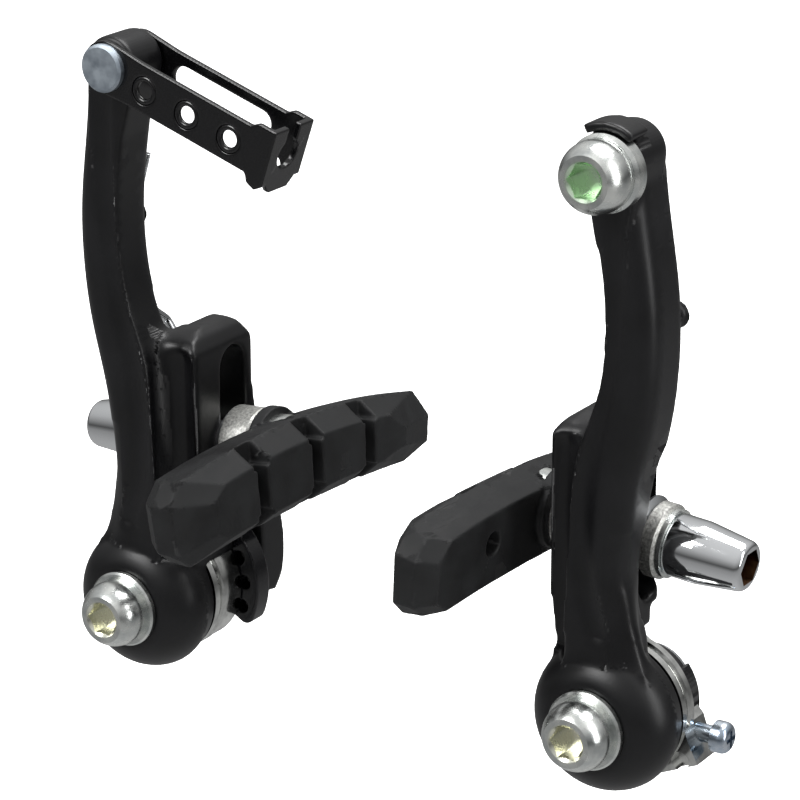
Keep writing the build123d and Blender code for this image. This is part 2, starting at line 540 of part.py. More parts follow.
def cup_washer(side, sign, spacer):
    """Spacer with a spherical seat that rides on the dome washer."""
    ball = BALL_R + BALL_GAP
    face = sqrt(ball ** 2 - CUP_SEAT_R ** 2)
    crown = sqrt(ball ** 2 - CUP_BORE_R ** 2)
    back = BLOCK_HALF + spacer
    mid_a = (asin(CUP_SEAT_R / ball) + asin(CUP_BORE_R / ball)) / 2
    seat = ThreePointArc((face, CUP_SEAT_R), (ball * cos(mid_a), ball * sin(mid_a)), (crown, CUP_BORE_R))
    rest = Polyline((crown, CUP_BORE_R), (back, CUP_BORE_R), (back, STACK_R - 0.4), (back - 0.4, STACK_R),
                    (face, STACK_R), (face, CUP_SEAT_R))
    body = revolve(make_face(seat + rest), Axis.X)
    return stack_place(body if sign > 0 else Rot(0, 0, 180) * body, side)


def flat_washer(side):
    """Plain washer under the nut."""
    x = -(BLOCK_HALF + OUTER_SPACER[side])
    body = rod_x(FLAT_WASHER_R, x - FLAT_WASHER_T, x) - rod_x(CUP_BORE_R, x - FLAT_WASHER_T - 1, x + 1)
    return stack_place(body, side)


def pad_nut(side):
    """Long tapered nut with a hexagon socket in its end."""
    x = -(BLOCK_HALF + OUTER_SPACER[side] + FLAT_WASHER_T)
    end = x - NUT_LENGTH
    taper = x - NUT_BARREL
    outline = Polyline((x, M6_R), (x, NUT_BASE_R - 0.3), (x - 0.3, NUT_BASE_R), (taper, NUT_BASE_R), (end + 0.6, NUT_END_R),
                       (end, NUT_END_R - 0.5), (end, M6_R), close=True)
    body = revolve(make_face(outline), Axis.X)
    socket = Plane(origin=(end, 0, 0), x_dir=(0, 1, 0), z_dir=(1, 0, 0)) * RegularPolygon(M6_R + 0.1, 6, major_radius=False)
    return stack_place(body - extrude(socket, amount=4.0, dir=(1, 0, 0)), side)


def stud_line(side):
    """Distances along the stud: cup back, pad back, pad inner face."""
    cup_back = BLOCK_HALF + INNER_SPACER[side]
    pad_back = cup_back + PAD_NECK
    return cup_back, pad_back, pad_back + PAD_THICK


def pad_stud(side):
    """Threaded stud with the flange that is moulded into the pad."""
    cup_back, pad_back, _ = stud_line(side)
    end = -(BLOCK_HALF + OUTER_SPACER[side] + FLAT_WASHER_T + NUT_LENGTH - 4.6)
    shaft = rod_x(M6_SHANK_R, end, pad_back + 1.0)
    flange = rod_x(STUD_FLANGE_R, pad_back + 1.0, pad_back + 1.0 + STUD_FLANGE_T)
    return stack_place(shaft + flange, side)


def pad_outline(half, front, rear):
    """Curved side outline of the pad, closing in towards both ends."""
    def at(along, height):
        turn = along / PAD_ARC_R
        return ((PAD_ARC_R + height) * sin(turn), (PAD_ARC_R + height) * cos(turn) - PAD_ARC_R)

    top0, top1 = PAD_NOSE * 0.8 - front, rear - PAD_NOSE * 1.3
    low0, low1 = PAD_NOSE * 0.7 - front, rear - PAD_NOSE * 1.8
    tail_half = half * PAD_REAR_TAPER
    top = ThreePointArc(at(top0, half), at((top0 + top1) / 2, half), at(top1, tail_half))
    low = ThreePointArc(at(low0, -half), at((low0 + low1) / 2, -half), at(low1, -tail_half))
    nose = Polyline(at(top0, half), at(-front, half * 0.55), at(-front, -half * 0.6), at(low0, -half))
    heel = Polyline(at(top1, tail_half), at(rear, half * 0.2), at(rear, -half * 0.45), at(low1, -tail_half))
    return make_face(top + low + nose + heel)


def brake_pad(side):
    """Moulded rubber block: bevelled faces, mould line, stepped grooves and stud boss."""
    cup_back, pad_back, face = stud_line(side)

    def level(depth, half, front, rear):
        flat = pad_outline(half, front, rear)
        return Plane(origin=(pad_back + depth, 0, -PAD_DROP), x_dir=(0, 1, 0), z_dir=(1, 0, 0)) * flat

    slices = [level(*sizes) for sizes in PAD_LEVELS]
    body = loft(slices[:2], ruled=True) + loft(slices[1:3], ruled=True) + loft(slices[2:], ruled=True)
    for along in PAD_GROOVES:
        groove = Pos(face, 0, 0) * Box(2 * PAD_GROOVE_DEPTH, PAD_GROOVE_W, 30)
        for height in (PAD_LEVELS[2][1] - 1.0, 1.0 - PAD_LEVELS[2][1]):
            groove += Pos(face, 0, height) * Box(2 * PAD_GROOVE_DEPTH + 1.6, PAD_STEP_W, 5.0)
        body -= Pos(0, 0, -PAD_ARC_R - PAD_DROP) * Rot(-degrees(along / PAD_ARC_R), 0, 0) * Pos(0, 0, PAD_ARC_R) * groove
    body -= rod_x(PAD_HOLE_R, pad_back - 1, pad_back + 4.0, PAD_HOLE_Y, -PAD_DROP)
    neck = rod_x(PAD_NECK_R, cup_back, pad_back + 1.0)
    neck -= rod_x(PAD_NECK_R + 1, cup_back - 1, cup_back + 0.5) - rod_x(PAD_NECK_R - 0.9, cup_back - 2, cup_back + 2)
    body += neck
    body -= rod_x(M6_SHANK_R, cup_back - 1, pad_back + 1.0)
    body -= rod_x(STUD_FLANGE_R, pad_back + 1.0, pad_back + 1.0 + STUD_FLANGE_T)
    return stack_place(Rot(-PAD_PITCH[side], 0, 0) * body, side)


def one_side(side):
    """All pieces that both sides have, in the side's own frame."""
    return {
        "arm": arm(side),
        "pivot_sleeve": pivot_sleeve(),
        "mounting_bolt": mounting_bolt(),
        "mounting_washer": mounting_washer(),
        "return_spring": return_spring(),
        "spring_cap": spring_cap(),
        "tension_ring": tension_ring(),
        "tension_screw": tension_screw(),
        "inner_dome_washer": dome_washer(side, 1),
        "outer_dome_washer": dome_washer(side, -1),
        "inner_cup_washer": cup_washer(side, 1, INNER_SPACER[side]),
        "outer_cup_washer": cup_washer(side, -1, OUTER_SPACER[side]),
        "flat_washer": flat_washer(side),
        "pad_nut": pad_nut(side),
        "pad_stud": pad_stud(side),
        "brake_pad": brake_pad(side),
    }


def place(shape, side):
    """Move a piece from the side's own frame to the row frame; the right side is mirrored."""
    if side == "right":
        shape = mirror(shape, Plane.YZ)
    return Pos(PIVOT_SPACING / 2 * (-1 if side == "left" else 1), 0, 0) * shape


def build():
    """Name and place every node."""
    nodes = {}
    for side in ("left", "right"):
        for name, shape in one_side(side).items():
            nodes[f"{side}_{name}"] = place(shape, side)
    nodes["noodle_link"] = place(noodle_link(), "left")
    nodes["link_rivet"] = place(link_rivet(), "left")
    nodes["cable_anchor_bolt"] = place(cable_anchor_bolt(), "right")
    nodes["cable_anchor_washer"] = place(cable_anchor_washer(), "right")
    return nodes


os.makedirs("parts", exist_ok=True)
for name, shape in build().items():
    export_step(shape, f"parts/{name}.step")
    print(name, "solids", len(shape.solids()), "volume", round(shape.volume, 1))
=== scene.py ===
# %% [markdown]
# # A linear-pull rim brake
# Two forged arms, each hung on a boss of the bicycle's frame by one bolt. The left arm
# carries a folded link for the cable's bent tube, the right one a bolt that clamps the cable.
# The solids come ready made from the CAD step, in one shared frame in metres. Here they get
# their finishes. The arms, pads, caps and link also get softer corners, and the two long nuts
# are modelled again, finer, because their small forms catch the light.

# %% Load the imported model
import bpy
import bmesh
import json
from math import cos, hypot, pi, radians, sin
from mathutils import Matrix, Vector

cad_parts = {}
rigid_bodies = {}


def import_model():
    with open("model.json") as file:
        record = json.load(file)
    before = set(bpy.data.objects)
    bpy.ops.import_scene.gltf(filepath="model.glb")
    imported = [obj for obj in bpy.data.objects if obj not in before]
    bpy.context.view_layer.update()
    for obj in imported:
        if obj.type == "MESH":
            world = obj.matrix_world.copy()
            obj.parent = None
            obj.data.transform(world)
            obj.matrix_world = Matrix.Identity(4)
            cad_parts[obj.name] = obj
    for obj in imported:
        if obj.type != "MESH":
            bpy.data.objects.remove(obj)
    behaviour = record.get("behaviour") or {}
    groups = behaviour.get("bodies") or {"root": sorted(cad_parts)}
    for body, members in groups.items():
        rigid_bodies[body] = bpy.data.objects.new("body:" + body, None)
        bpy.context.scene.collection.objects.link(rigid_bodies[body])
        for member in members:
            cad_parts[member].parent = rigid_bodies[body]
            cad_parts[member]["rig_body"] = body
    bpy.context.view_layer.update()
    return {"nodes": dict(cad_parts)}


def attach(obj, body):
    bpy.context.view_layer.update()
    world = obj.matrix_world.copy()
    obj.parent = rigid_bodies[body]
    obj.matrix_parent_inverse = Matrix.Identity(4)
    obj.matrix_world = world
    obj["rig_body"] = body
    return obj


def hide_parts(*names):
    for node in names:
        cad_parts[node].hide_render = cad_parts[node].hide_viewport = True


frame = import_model()
nodes = frame["nodes"]
MM = 0.001

# %% [markdown]
# Colours are written as the hex values that a picture editor shows. Blender works in linear
# light, so one function turns them round. A second one adds a shader node with its settings
# and links, so that each finish below reads as a short recipe.

# %% Colour and node helpers
def colour(hex_value):
    """Linear RGBA of an sRGB hex value."""
    parts = [int(hex_value[i:i + 2], 16) / 255 for i in (1, 3, 5)]
    linear = [c / 12.92 if c <= 0.04045 else ((c + 0.055) / 1.055) ** 2.4 for c in parts]
    return (*linear, 1.0)


def add_node(tree, kind, settings=None, links=None, props=None):
    """A shader node with its input values, incoming links and properties."""
    node = tree.nodes.new(kind)
    for name, value in (props or {}).items():
        setattr(node, name, value)
    for name, value in (settings or {}).items():
        node.inputs[name].default_value = value
    for name, socket in (links or {}).items():
        tree.links.new(socket, node.inputs[name])
    return node


def new_finish(name, base, roughness, metallic=0.0, **sockets):
    """A material with a Principled shader; returns the material, its tree and the shader."""
    material = bpy.data.materials.new(name)
    material.use_nodes = True
    tree = material.node_tree
    shader = tree.nodes["Principled BSDF"]
    shader.inputs["Base Color"].default_value = colour(base)
    shader.inputs["Roughness"].default_value = roughness
    shader.inputs["Metallic"].default_value = metallic
    for socket, value in sockets.items():
        shader.inputs[socket.replace("_", " ")].default_value = value
    return material, tree, shader


# %% [markdown]
# No real surface has one colour or one gloss. Each finish takes a noise whose blobs have a
# real size in millimetres and lets it move the tint, the gloss or the height a little. Noise
# values crowd about one half, so only their middle range is stretched over the wanted span.

# %% Patterns that a finish is made of
NOISE_LOW, NOISE_HIGH = 0.3, 0.7


def grain(tree, size_mm, detail=2.0, stretch=(1, 1, 1)):
    """Noise whose blobs are about size_mm across, on the piece's own coordinates."""
    place = add_node(tree, "ShaderNodeTexCoord")
    stretched = add_node(tree, "ShaderNodeMapping", {"Scale": stretch},
                         {"Vector": place.outputs["Object"]})
    return add_node(tree, "ShaderNodeTexNoise", {"Scale": 1 / (size_mm * MM), "Detail": detail},
                    {"Vector": stretched.outputs["Vector"]})


def ramp(tree, factor, stops):
    """Colour ramp from (position, hex) stops."""
    node = add_node(tree, "ShaderNodeValToRGB", links={"Fac": factor})
    elements = node.color_ramp.elements
    while len(elements) < len(stops):
        elements.new(0.5)
    for element, (position, hex_value) in zip(elements, stops):
        element.position = position
        element.color = colour(hex_value)
    return node


def vary_tint(tree, shader, pattern, dark, light, low=NOISE_LOW, high=NOISE_HIGH):
    """Base colour that runs from dark to light between two values of a pattern."""
    tint = ramp(tree, pattern.outputs["Fac"], [(low, dark), (high, light)])
    tree.links.new(tint.outputs["Color"], shader.inputs["Base Color"])


def vary_gloss(tree, shader, pattern, smoothest, roughest):
    """Roughness that runs between two values over a pattern's middle range."""
    span = {"From Min": NOISE_LOW, "From Max": NOISE_HIGH, "To Min": smoothest, "To Max": roughest}
    spread = add_node(tree, "ShaderNodeMapRange", span, {"Value": pattern.outputs["Fac"]})
    tree.links.new(spread.outputs["Result"], shader.inputs["Roughness"])


def bump(tree, shader, pattern, depth_mm, strength):
    """Feed a pattern, as a height of the given depth, to the shader's normal."""
    node = add_node(tree, "ShaderNodeBump", {"Strength": strength, "Distance": depth_mm * MM},
                    {"Height": pattern.outputs["Fac"]})
    tree.links.new(node.outputs["Normal"], shader.inputs["Normal"])


# %% [markdown]
# ## Finishes
# The arms are forged aluminium, blasted and then coated with a satin black stoving paint.
# The paint is nearly black, and its gloss is broken by an orange peel. The real peel is about
# 0.3 mm across. It is drawn at 0.55 mm, a little coarser, so that it shows in the render.

# %% Satin black paint
black_paint, tree, shader = new_finish("Satin stoving paint on forged aluminium", "#08080a", 0.34,
                                       Specular_IOR_Level=0.34)
peel = grain(tree, 0.55, 3.0)
bump(tree, shader, peel, 0.012, 0.6)
cloud = grain(tree, 9.0)
vary_gloss(tree, shader, cloud, 0.33, 0.41)
vary_tint(tree, shader, cloud, "#070708", "#0b0b0d")

# %% [markdown]
# The link is pressed from steel sheet and dipped in enamel, which dries smoother and glossier
# than the sprayed paint of the arms. Its skin has only the faintest waves.

# %% Glossy black on pressed steel
link_paint, tree, shader = new_finish("Semi-gloss enamel on pressed steel", "#060607", 0.24)
peel = grain(tree, 0.8)
bump(tree, shader, peel, 0.004, 0.1)
vary_gloss(tree, shader, peel, 0.17, 0.23)

# %% [markdown]
# The screws and washers are steel with bright zinc plate. Zinc is a soft white metal that
# mirrors in a slightly milky way, so its gloss and tint wander over a few millimetres, and a
# fine grain of 0.35 mm, coarser than the real one, breaks the mirror image.

# %% Bright zinc plate
def zinc(name, dark, light, smoothest, roughest):
    """Zinc plate whose tint and gloss wander over a few millimetres."""
    material, tree, shader = new_finish(name, light, smoothest, 1.0)
    cloud = grain(tree, 2.6, 3.0)
    vary_tint(tree, shader, cloud, dark, light, 0.32, 0.68)
    vary_gloss(tree, shader, cloud, smoothest, roughest)
    bump(tree, shader, grain(tree, 0.35), 0.004, 0.25)
    return material


white_zinc = zinc("Bright zinc plate", "#c2c6c5", "#e9ebe7", 0.2, 0.32)
blue_zinc = zinc("Blue passivated zinc", "#8fa3b8", "#d5dde6", 0.16, 0.3)
dull_zinc = zinc("Dull barrel zinc", "#8e98a3", "#b7c0c8", 0.42, 0.55)

# %% [markdown]
# A socket head shows two colours: its dome is bright, and inside the socket the plating bath
# left a film, straw yellow on the pivot bolts and green on the cable's bolt. It could be
# painted by face, but a mask by distance from the bolt's axis fades softly over the rim.

# %% Socket heads with a tinted socket
FILM_FULL_R, FILM_END_R = 2.6, 3.3
FILM_BACK_Y = -17.0
# A Mix node has several sockets of the same name, so its colour sockets go by number.
MIX_A, MIX_B, MIX_RESULT = 6, 7, 2


def socket_zinc(name, centre_x, centre_z, film, strength):
    """Bright zinc that turns to the film's colour near an axis along Y, on the front end only."""
    material = white_zinc.copy()
    material.name = name
    tree = material.node_tree
    shader = next(node for node in tree.nodes if node.type == "BSDF_PRINCIPLED")
    bright = shader.inputs["Base Color"].links[0].from_socket
    place = add_node(tree, "ShaderNodeTexCoord")
    moved = add_node(tree, "ShaderNodeMapping", {"Location": (-centre_x, 0, -centre_z)},
                     {"Vector": place.outputs["Object"]})
    flat = add_node(tree, "ShaderNodeVectorMath", {1: (1, 0, 1)}, {0: moved.outputs["Vector"]},
                    {"operation": "MULTIPLY"})
    away = add_node(tree, "ShaderNodeVectorMath", links={0: flat.outputs["Vector"]},
                    props={"operation": "LENGTH"})
    fade = {"From Min": FILM_FULL_R * MM, "From Max": FILM_END_R * MM, "To Min": strength, "To Max": 0.0}
    share = add_node(tree, "ShaderNodeMapRange", fade, {"Value": away.outputs["Value"]})
    depth = add_node(tree, "ShaderNodeSeparateXYZ", links={"Vector": place.outputs["Object"]})
    front = add_node(tree, "ShaderNodeMath", {1: FILM_BACK_Y * MM}, {0: depth.outputs["Y"]},
                     {"operation": "LESS_THAN"})
    both = add_node(tree, "ShaderNodeMath", links={0: share.outputs["Result"], 1: front.outputs["Value"]},
                    props={"operation": "MULTIPLY"})
    mixed = add_node(tree, "ShaderNodeMix", links={"Factor": both.outputs["Value"]},
                     props={"data_type": "RGBA"})
    tree.links.new(bright, mixed.inputs[MIX_A])
    mixed.inputs[MIX_B].default_value = colour(film)
    tree.links.new(mixed.outputs[MIX_RESULT], shader.inputs["Base Color"])
    return material


PIVOT_X = 43.3 * MM
ANCHOR_X, ANCHOR_Z = 44.6 * MM, 86.6 * MM
left_pivot_zinc = socket_zinc("Zinc with a straw socket, left pivot", -PIVOT_X, 0.0, "#ecebd8", 0.9)
right_pivot_zinc = socket_zinc("Zinc with a straw socket, right pivot", PIVOT_X, 0.0, "#ecebd8", 0.9)
anchor_zinc = socket_zinc("Zinc with a green socket, anchor", ANCHOR_X, ANCHOR_Z, "#d3efcc", 0.95)

# %% [markdown]
# The long nuts are polished and chromed. Chrome is darker and crisper than zinc, and the
# socket in the nut's end is broached steel that kept a brown oil film.

# %% Chrome and the oiled socket
chrome, tree, shader = new_finish("Polished chrome plate", "#dfe1e3", 0.07, 1.0)
vary_gloss(tree, shader, grain(tree, 3.0), 0.05, 0.11)
brown_socket = zinc("Oiled broached steel", "#3e2a1c", "#8f6a4c", 0.3, 0.45)

# %% [markdown]
# The cup washers are blasted, sintered steel with a sandy, matt silver skin. The real grit
# is about 0.2 mm. It is drawn at 0.42 mm, so that the sparkle shows.

# %% Blasted silver
blasted, tree, shader = new_finish("Blasted sintered steel", "#b9b9b6", 0.5, 1.0)
grit = grain(tree, 0.42, 4.0)
bump(tree, shader, grit, 0.06, 0.9)
vary_tint(tree, shader, grit, "#8d8d8a", "#d6d6d2")

# %% [markdown]
# The spring's tension ring is a zinc die casting, tumbled until it shines, with the slight
# waves of a casting left in it.

# %% Tumbled die casting
casting, tree, shader = new_finish("Tumbled zinc die casting", "#d3d4d2", 0.22, 1.0)
wave = grain(tree, 2.2)
bump(tree, shader, wave, 0.02, 0.3)
vary_tint(tree, shader, wave, "#b3b4b2", "#e6e7e4")
vary_gloss(tree, shader, wave, 0.1, 0.2)

# %% [markdown]
# The sleeves and the dome washers are turned. Lathe marks run round a piece. The sleeves lie
# along Y, so a noise that is squeezed along Y gives them their rings, and the small washers
# share it. The spring is drawn wire, which is smooth, and only its gloss changes a little.

# %% Turned steel and spring wire
turned_steel, tree, shader = new_finish("Turned bearing steel", "#a9abad", 0.3, 1.0)
bump(tree, shader, grain(tree, 0.5, stretch=(1, 6, 1)), 0.01, 0.4)
spring_wire, tree, shader = new_finish("Drawn stainless wire", "#c2c4c6", 0.22, 1.0)
vary_gloss(tree, shader, grain(tree, 0.3), 0.18, 0.3)

# %% [markdown]
# The caps behind the hubs are moulded in black acetal. The mould was polished, so they gleam,
# and the plastic sank a little as it cooled, which bends the reflections.

# %% Glossy acetal
acetal, tree, shader = new_finish("Moulded black acetal", "#08080a", 0.16)
bump(tree, shader, grain(tree, 4.0, 1.0), 0.03, 0.4)

# %% [markdown]
# The pads are moulded rubber. Carbon black makes it nearly black, and the mould's fine
# texture and a dusty bloom make it matt and a little grey.

# %% Pad rubber
rubber, tree, shader = new_finish("Moulded brake pad rubber", "#101112", 0.6, Specular_IOR_Level=0.3)
bloom = grain(tree, 5.0, 3.0)
vary_tint(tree, shader, bloom, "#0b0b0c", "#131415")
bump(tree, shader, grain(tree, 0.4, 3.0), 0.03, 0.5)
vary_gloss(tree, shader, bloom, 0.55, 0.7)

# %% [markdown]
# Both sides are made of the same kinds of piece, so one table gives each kind its finish.
# Only the three tinted bolts differ, because their film is centred on their own axis.

# %% Paint the solids
FINISHES = {
    "arm": black_paint, "pivot_sleeve": turned_steel, "mounting_bolt": white_zinc,
    "mounting_washer": white_zinc, "return_spring": spring_wire, "spring_cap": acetal,
    "tension_ring": casting, "tension_screw": blue_zinc, "inner_dome_washer": turned_steel,
    "outer_dome_washer": turned_steel, "inner_cup_washer": blasted, "outer_cup_washer": blasted,
    "flat_washer": white_zinc, "pad_nut": chrome, "pad_stud": white_zinc, "brake_pad": rubber,
    "noodle_link": link_paint, "link_rivet": dull_zinc,
    "cable_anchor_bolt": white_zinc, "cable_anchor_washer": white_zinc,
}
TINTED_BOLTS = {"left_mounting_bolt": left_pivot_zinc, "right_mounting_bolt": right_pivot_zinc,
                "cable_anchor_bolt": anchor_zinc}


def kind_of(node_name):
    """The node's name without its side."""
    return node_name.removeprefix("left_").removeprefix("right_")


for name, node in nodes.items():
    for slot in node.material_slots:
        slot.material = TINTED_BOLTS.get(name, FINISHES[kind_of(name)])
print("painted", len(nodes), "nodes of", len(FINISHES), "kinds")

# %% [markdown]
# ## Softened pieces
# A forging leaves its die with every corner rounded, and its paint rounds them again. The same
# is true of moulded rubber and acetal, and of pressed sheet. A bevel would have to find its way
# through hundreds of small faces where the forms flow into each other. So a copy of each such
# solid is skinned anew with an even mesh, whose corners are then relaxed. First come the
# helpers that make a clean copy of a CAD node.

# %% Copies of the solids
MERGE_GAP = 0.001


def select_only(piece):
    """Make one piece the selected and the active one."""
    bpy.ops.object.select_all(action="DESELECT")
    piece.select_set(True)
    bpy.context.view_layer.objects.active = piece


def close_mesh(merge_gap_mm):
    """Merge the active mesh's doubles and turn its faces outwards."""
    bpy.ops.object.mode_set(mode="EDIT")
    bpy.ops.mesh.select_all(action="SELECT")
    bpy.ops.mesh.remove_doubles(threshold=merge_gap_mm * MM)
    bpy.ops.mesh.normals_make_consistent(inside=False)
    bpy.ops.object.mode_set(mode="OBJECT")


def copy_of(node_name):
    """A merged, closed copy of a CAD node, which stands for that node and is selected."""
    node = nodes[node_name]
    piece = node.copy()
    piece.data = node.data.copy()
    piece.parent = None
    for key in list(piece.keys()):
        del piece[key]
    piece.name = node_name + "_finished"
    bpy.context.scene.collection.objects.link(piece)
    select_only(piece)
    close_mesh(MERGE_GAP)
    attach(piece, node["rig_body"])
    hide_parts(node_name)
    return piece


# %% [markdown]
# The voxel size is how fine the new skin is, and the rounds are how far its corners soften.
# Each round moves a vertex half way to the middle of its neighbours. The arms get the largest
# corners, the pads and caps keep theirs tighter, and the thin link needs the finest skin.

# %% Softened copies of the solids
HALF_WAY = 0.5


def softened(node_name, voxel_mm, rounds):
    """A copy of a CAD node with an even skin whose corners are rounded by a number of rounds."""
    piece = copy_of(node_name)
    piece.data.remesh_voxel_size = voxel_mm * MM
    piece.data.remesh_voxel_adaptivity = 0.0
    bpy.ops.object.voxel_remesh()
    relax = piece.modifiers.new("relax", "SMOOTH")
    relax.factor = HALF_WAY
    relax.iterations = rounds
    bpy.ops.object.modifier_apply(modifier=relax.name)
    bpy.ops.object.shade_smooth()
    print(piece.name, "faces", len(piece.data.polygons))
    return piece


ARM_SKIN, PAD_SKIN, CAP_SKIN, LINK_SKIN = (0.34, 24), (0.3, 6), (0.28, 4), (0.2, 9)
SOFTENED = {"left_arm": ARM_SKIN, "right_arm": ARM_SKIN, "left_brake_pad": PAD_SKIN,
            "right_brake_pad": PAD_SKIN, "noodle_link": LINK_SKIN, "left_spring_cap": CAP_SKIN,
            "right_spring_cap": CAP_SKIN}
skins = {name: softened(name, voxel_mm, rounds) for name, (voxel_mm, rounds) in SOFTENED.items()}

# %% [markdown]
# Where the spine meets the slot block and the hub, the die was cut with a much larger radius
# than elsewhere. These places are relaxed further, each inside a box in the side's own frame:
# inboard from the pivot, back, and up, in millimetres. Smoothing in edit mode moves only what
# is selected, so the rest of the arm keeps its crisp lines.

# %% Large fillets of the arms
SIDES = {"left": 1, "right": -1}
WEB_BOX = ((-1.5, -17.8, 13.0), (7.6, -8.4, 52.0), 70)
OUTER_SPINE_BOX = ((-9.0, -23.0, 10.0), (-1.5, -8.0, 31.0), 60)
SPINE_FOOT_BOX = ((-9.0, -23.0, 9.5), (9.0, -12.0, 14.0), 25)
FILLET_BOXES = (WEB_BOX, OUTER_SPINE_BOX, SPINE_FOOT_BOX)


def relax_region(piece, sign, low, high, rounds):
    """Smooth the vertices of a piece inside a box given in the side's own frame."""
    select_only(piece)
    for vertex in piece.data.vertices:
        own = ((sign * vertex.co.x + PIVOT_X) / MM, vertex.co.y / MM, vertex.co.z / MM)
        vertex.select = all(start < value < end for start, value, end in zip(low, own, high))
    for item in (*piece.data.edges, *piece.data.polygons):
        item.select = False
    bpy.ops.object.mode_set(mode="EDIT")
    bpy.ops.mesh.select_mode(type="VERT")
    bpy.ops.mesh.vertices_smooth(factor=HALF_WAY, repeat=rounds)
    bpy.ops.object.mode_set(mode="OBJECT")


for side, sign in SIDES.items():
    for low, high, rounds in FILLET_BOXES:
        relax_region(skins[side + "_arm"], sign, low, high, rounds)
print("relaxed", len(FILLET_BOXES), "regions of each arm")

# %% [markdown]
# The left spring's leg leaves the block on its outboard side and climbs close behind the spine,
# so that hardly any of it shows from the front. It could be swept again along a new path. The
# path is right but for one stretch, so that stretch of the mesh is moved over by a smooth amount.

# %% Left spring, leg drawn behind the spine
LEG_SHIFT, LEG_SHIFT_HEIGHTS = -8.0, (28.0, 38.0, 48.0, 58.0)
LEG_BACK, LEG_BACK_HEIGHTS = 0.4, (26.0, 30.0, 40.0, 44.0)


def ease(value, start, end):
    """0 before start, 1 after end, smooth between."""
    share = min(max((value - start) / (end - start), 0.0), 1.0)
    return share * share * (3 - 2 * share)


def swell(value, rise_start, rise_end, fall_start, fall_end):
    """0 at both ends, 1 in the middle, smooth between."""
    return ease(value, rise_start, rise_end) * (1 - ease(value, fall_start, fall_end))


left_spring = copy_of("left_return_spring")
for vertex in left_spring.data.vertices:
    height = vertex.co.z / MM
    vertex.co.x += LEG_SHIFT * swell(height, *LEG_SHIFT_HEIGHTS) * MM
    vertex.co.y += LEG_BACK * swell(height, *LEG_BACK_HEIGHTS) * MM
bpy.ops.object.shade_smooth()
print(left_spring.name, "leg moved by up to", -LEG_SHIFT, "mm")

# %% [markdown]
# ## Long nuts
# The long nuts are turned from bar: a barrel, a taper and a rounded nose with a hexagon socket.
# One could spin an outline. Here a cylinder is the barrel, and its end face is extruded and
# narrowed twice, because each step can be followed by hand. A nut is built along X about the
# middle of the pad's ball joint. Sizes are in millimetres.

# %% Barrel, taper and nose
NUT_BASE_R, NUT_END_R, NUT_NOSE_R = 4.9, 3.95, 3.45
NUT_LENGTH, NUT_BARREL, NUT_NOSE = 12.6, 4.6, 0.6


def bar_along_x(sides, radius, length, middle_x):
    """A solid bar along X as the only selected piece; sizes in mm."""
    bpy.ops.object.select_all(action="DESELECT")
    bpy.ops.mesh.primitive_cylinder_add(vertices=sides, radius=radius * MM, depth=length * MM,
                                        location=(middle_x * MM, 0, 0), rotation=(0, pi / 2, 0))
    return bpy.context.object


def only_face_towards(piece, direction):
    """In edit mode, select the one face that looks most along a direction and lies furthest."""
    shape = bmesh.from_edit_mesh(piece.data)
    for face in shape.faces:
        face.select_set(False)
    best = max(shape.faces, key=lambda face: (round(face.normal.dot(direction), 3),
                                              face.calc_center_median().dot(direction)))
    best.select_set(True)
    bmesh.update_edit_mesh(piece.data)


def extrude_nose(nut):
    """Pull the taper and the nose out of the barrel's outer face."""
    bpy.ops.object.mode_set(mode="EDIT")
    bpy.ops.mesh.select_mode(type="FACE")
    radius = NUT_BASE_R
    for step, end_radius in ((NUT_LENGTH - NUT_BARREL - NUT_NOSE, NUT_END_R), (NUT_NOSE, NUT_NOSE_R)):
        only_face_towards(nut, Vector((-1, 0, 0)))
        bpy.ops.mesh.extrude_region_move(TRANSFORM_OT_translate={"value": (-step * MM, 0, 0)})
        bpy.ops.transform.resize(value=(1, end_radius / radius, end_radius / radius))
        radius = end_radius
    bpy.ops.object.mode_set(mode="OBJECT")


# %% [markdown]
# Chrome shows every corner as a bright line, so the corners are rounded by a bevel in four
# steps. It takes only edges sharper than 5 degrees: the barrel's 96 sides meet at less. The
# socket is cut by a hexagon bar, and its walls and floor get the oiled steel.

# %% Rounded corners and socket
ROUNDING, ROUNDING_STEPS, ROUND_ABOVE = 0.35, 4, radians(5)
SOCKET_R, SOCKET_DEPTH = 2.55, 4.0
WALL_SLACK, MOUTH_SLACK, FLOOR_SLACK = 0.4, 0.2, 0.1
NEAR_AXIS, SIDEWAYS = 0.5, 0.5


def round_corners(nut):
    """Round the corners of a nut that is the active piece."""
    rounding = nut.modifiers.new("rounding", "BEVEL")
    rounding.width = ROUNDING * MM
    rounding.segments = ROUNDING_STEPS
    rounding.angle_limit = ROUND_ABOVE
    bpy.ops.object.modifier_apply(modifier=rounding.name)


def cut_socket(nut, end_x):
    """Cut the hexagon socket into the nose that ends at end_x."""
    cutter = bar_along_x(6, SOCKET_R / cos(pi / 6), 2 * SOCKET_DEPTH, end_x)
    cut = nut.modifiers.new("socket", "BOOLEAN")
    cut.object = cutter
    cut.solver = "EXACT"
    select_only(nut)
    bpy.ops.object.modifier_apply(modifier=cut.name)
    bpy.data.objects.remove(cutter)


def in_socket(face, end_x):
    """Whether a face is a wall or the floor of the socket that opens at end_x."""
    away = hypot(face.center.y, face.center.z) / MM
    depth = face.center.x / MM - end_x
    beside_wall = away < SOCKET_R + WALL_SLACK and -MOUTH_SLACK < depth < SOCKET_DEPTH + FLOOR_SLACK
    is_wall = beside_wall and abs(face.normal.x) < SIDEWAYS
    is_floor = away < NEAR_AXIS and depth > NEAR_AXIS and face.normal.x < -SIDEWAYS
    return is_wall or is_floor


